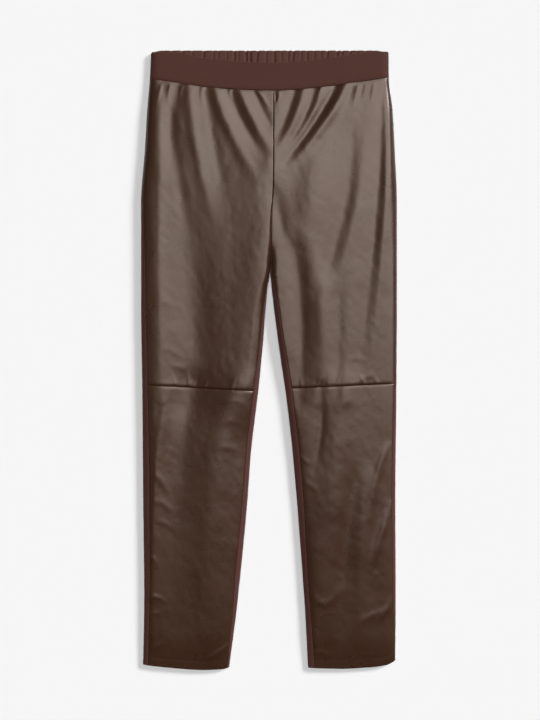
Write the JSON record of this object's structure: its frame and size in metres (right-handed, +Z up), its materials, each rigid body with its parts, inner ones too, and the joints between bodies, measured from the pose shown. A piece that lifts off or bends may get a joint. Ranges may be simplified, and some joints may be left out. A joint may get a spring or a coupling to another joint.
{
  "type": "faux leather trousers, laid flat",
  "caption": "Slim pull-on trousers laid flat: glossy faux leather front panels with knee seams, a jersey back that wraps round the legs, and a wide waistband gathered behind.",
  "frame": {"origin": "middle of the garment's outline, on the surface that it lies on", "axes": "+X across the garment to the viewer's right, +Y from the hems to the waist, +Z up out of the table, out of the garment's front"},
  "size_m": [0.415, 1.005, 0.0211],
  "materials": {
    "faux_leather": "glossy coated faux leather, dark brown, with a fine grain and soft highlights",
    "jersey": "matt double-knit jersey, burgundy brown",
    "waistband_jersey": "matt double-knit jersey, burgundy brown, folded double"
  },
  "bodies": {
    "root": {"front_upper_left": "faux_leather", "front_upper_right": "faux_leather", "front_lower_left": "faux_leather", "front_lower_right": "faux_leather", "back_left": "jersey", "back_right": "jersey", "waistband_front": "waistband_jersey", "waistband_back": "waistband_jersey"}
  },
  "joints": []
}
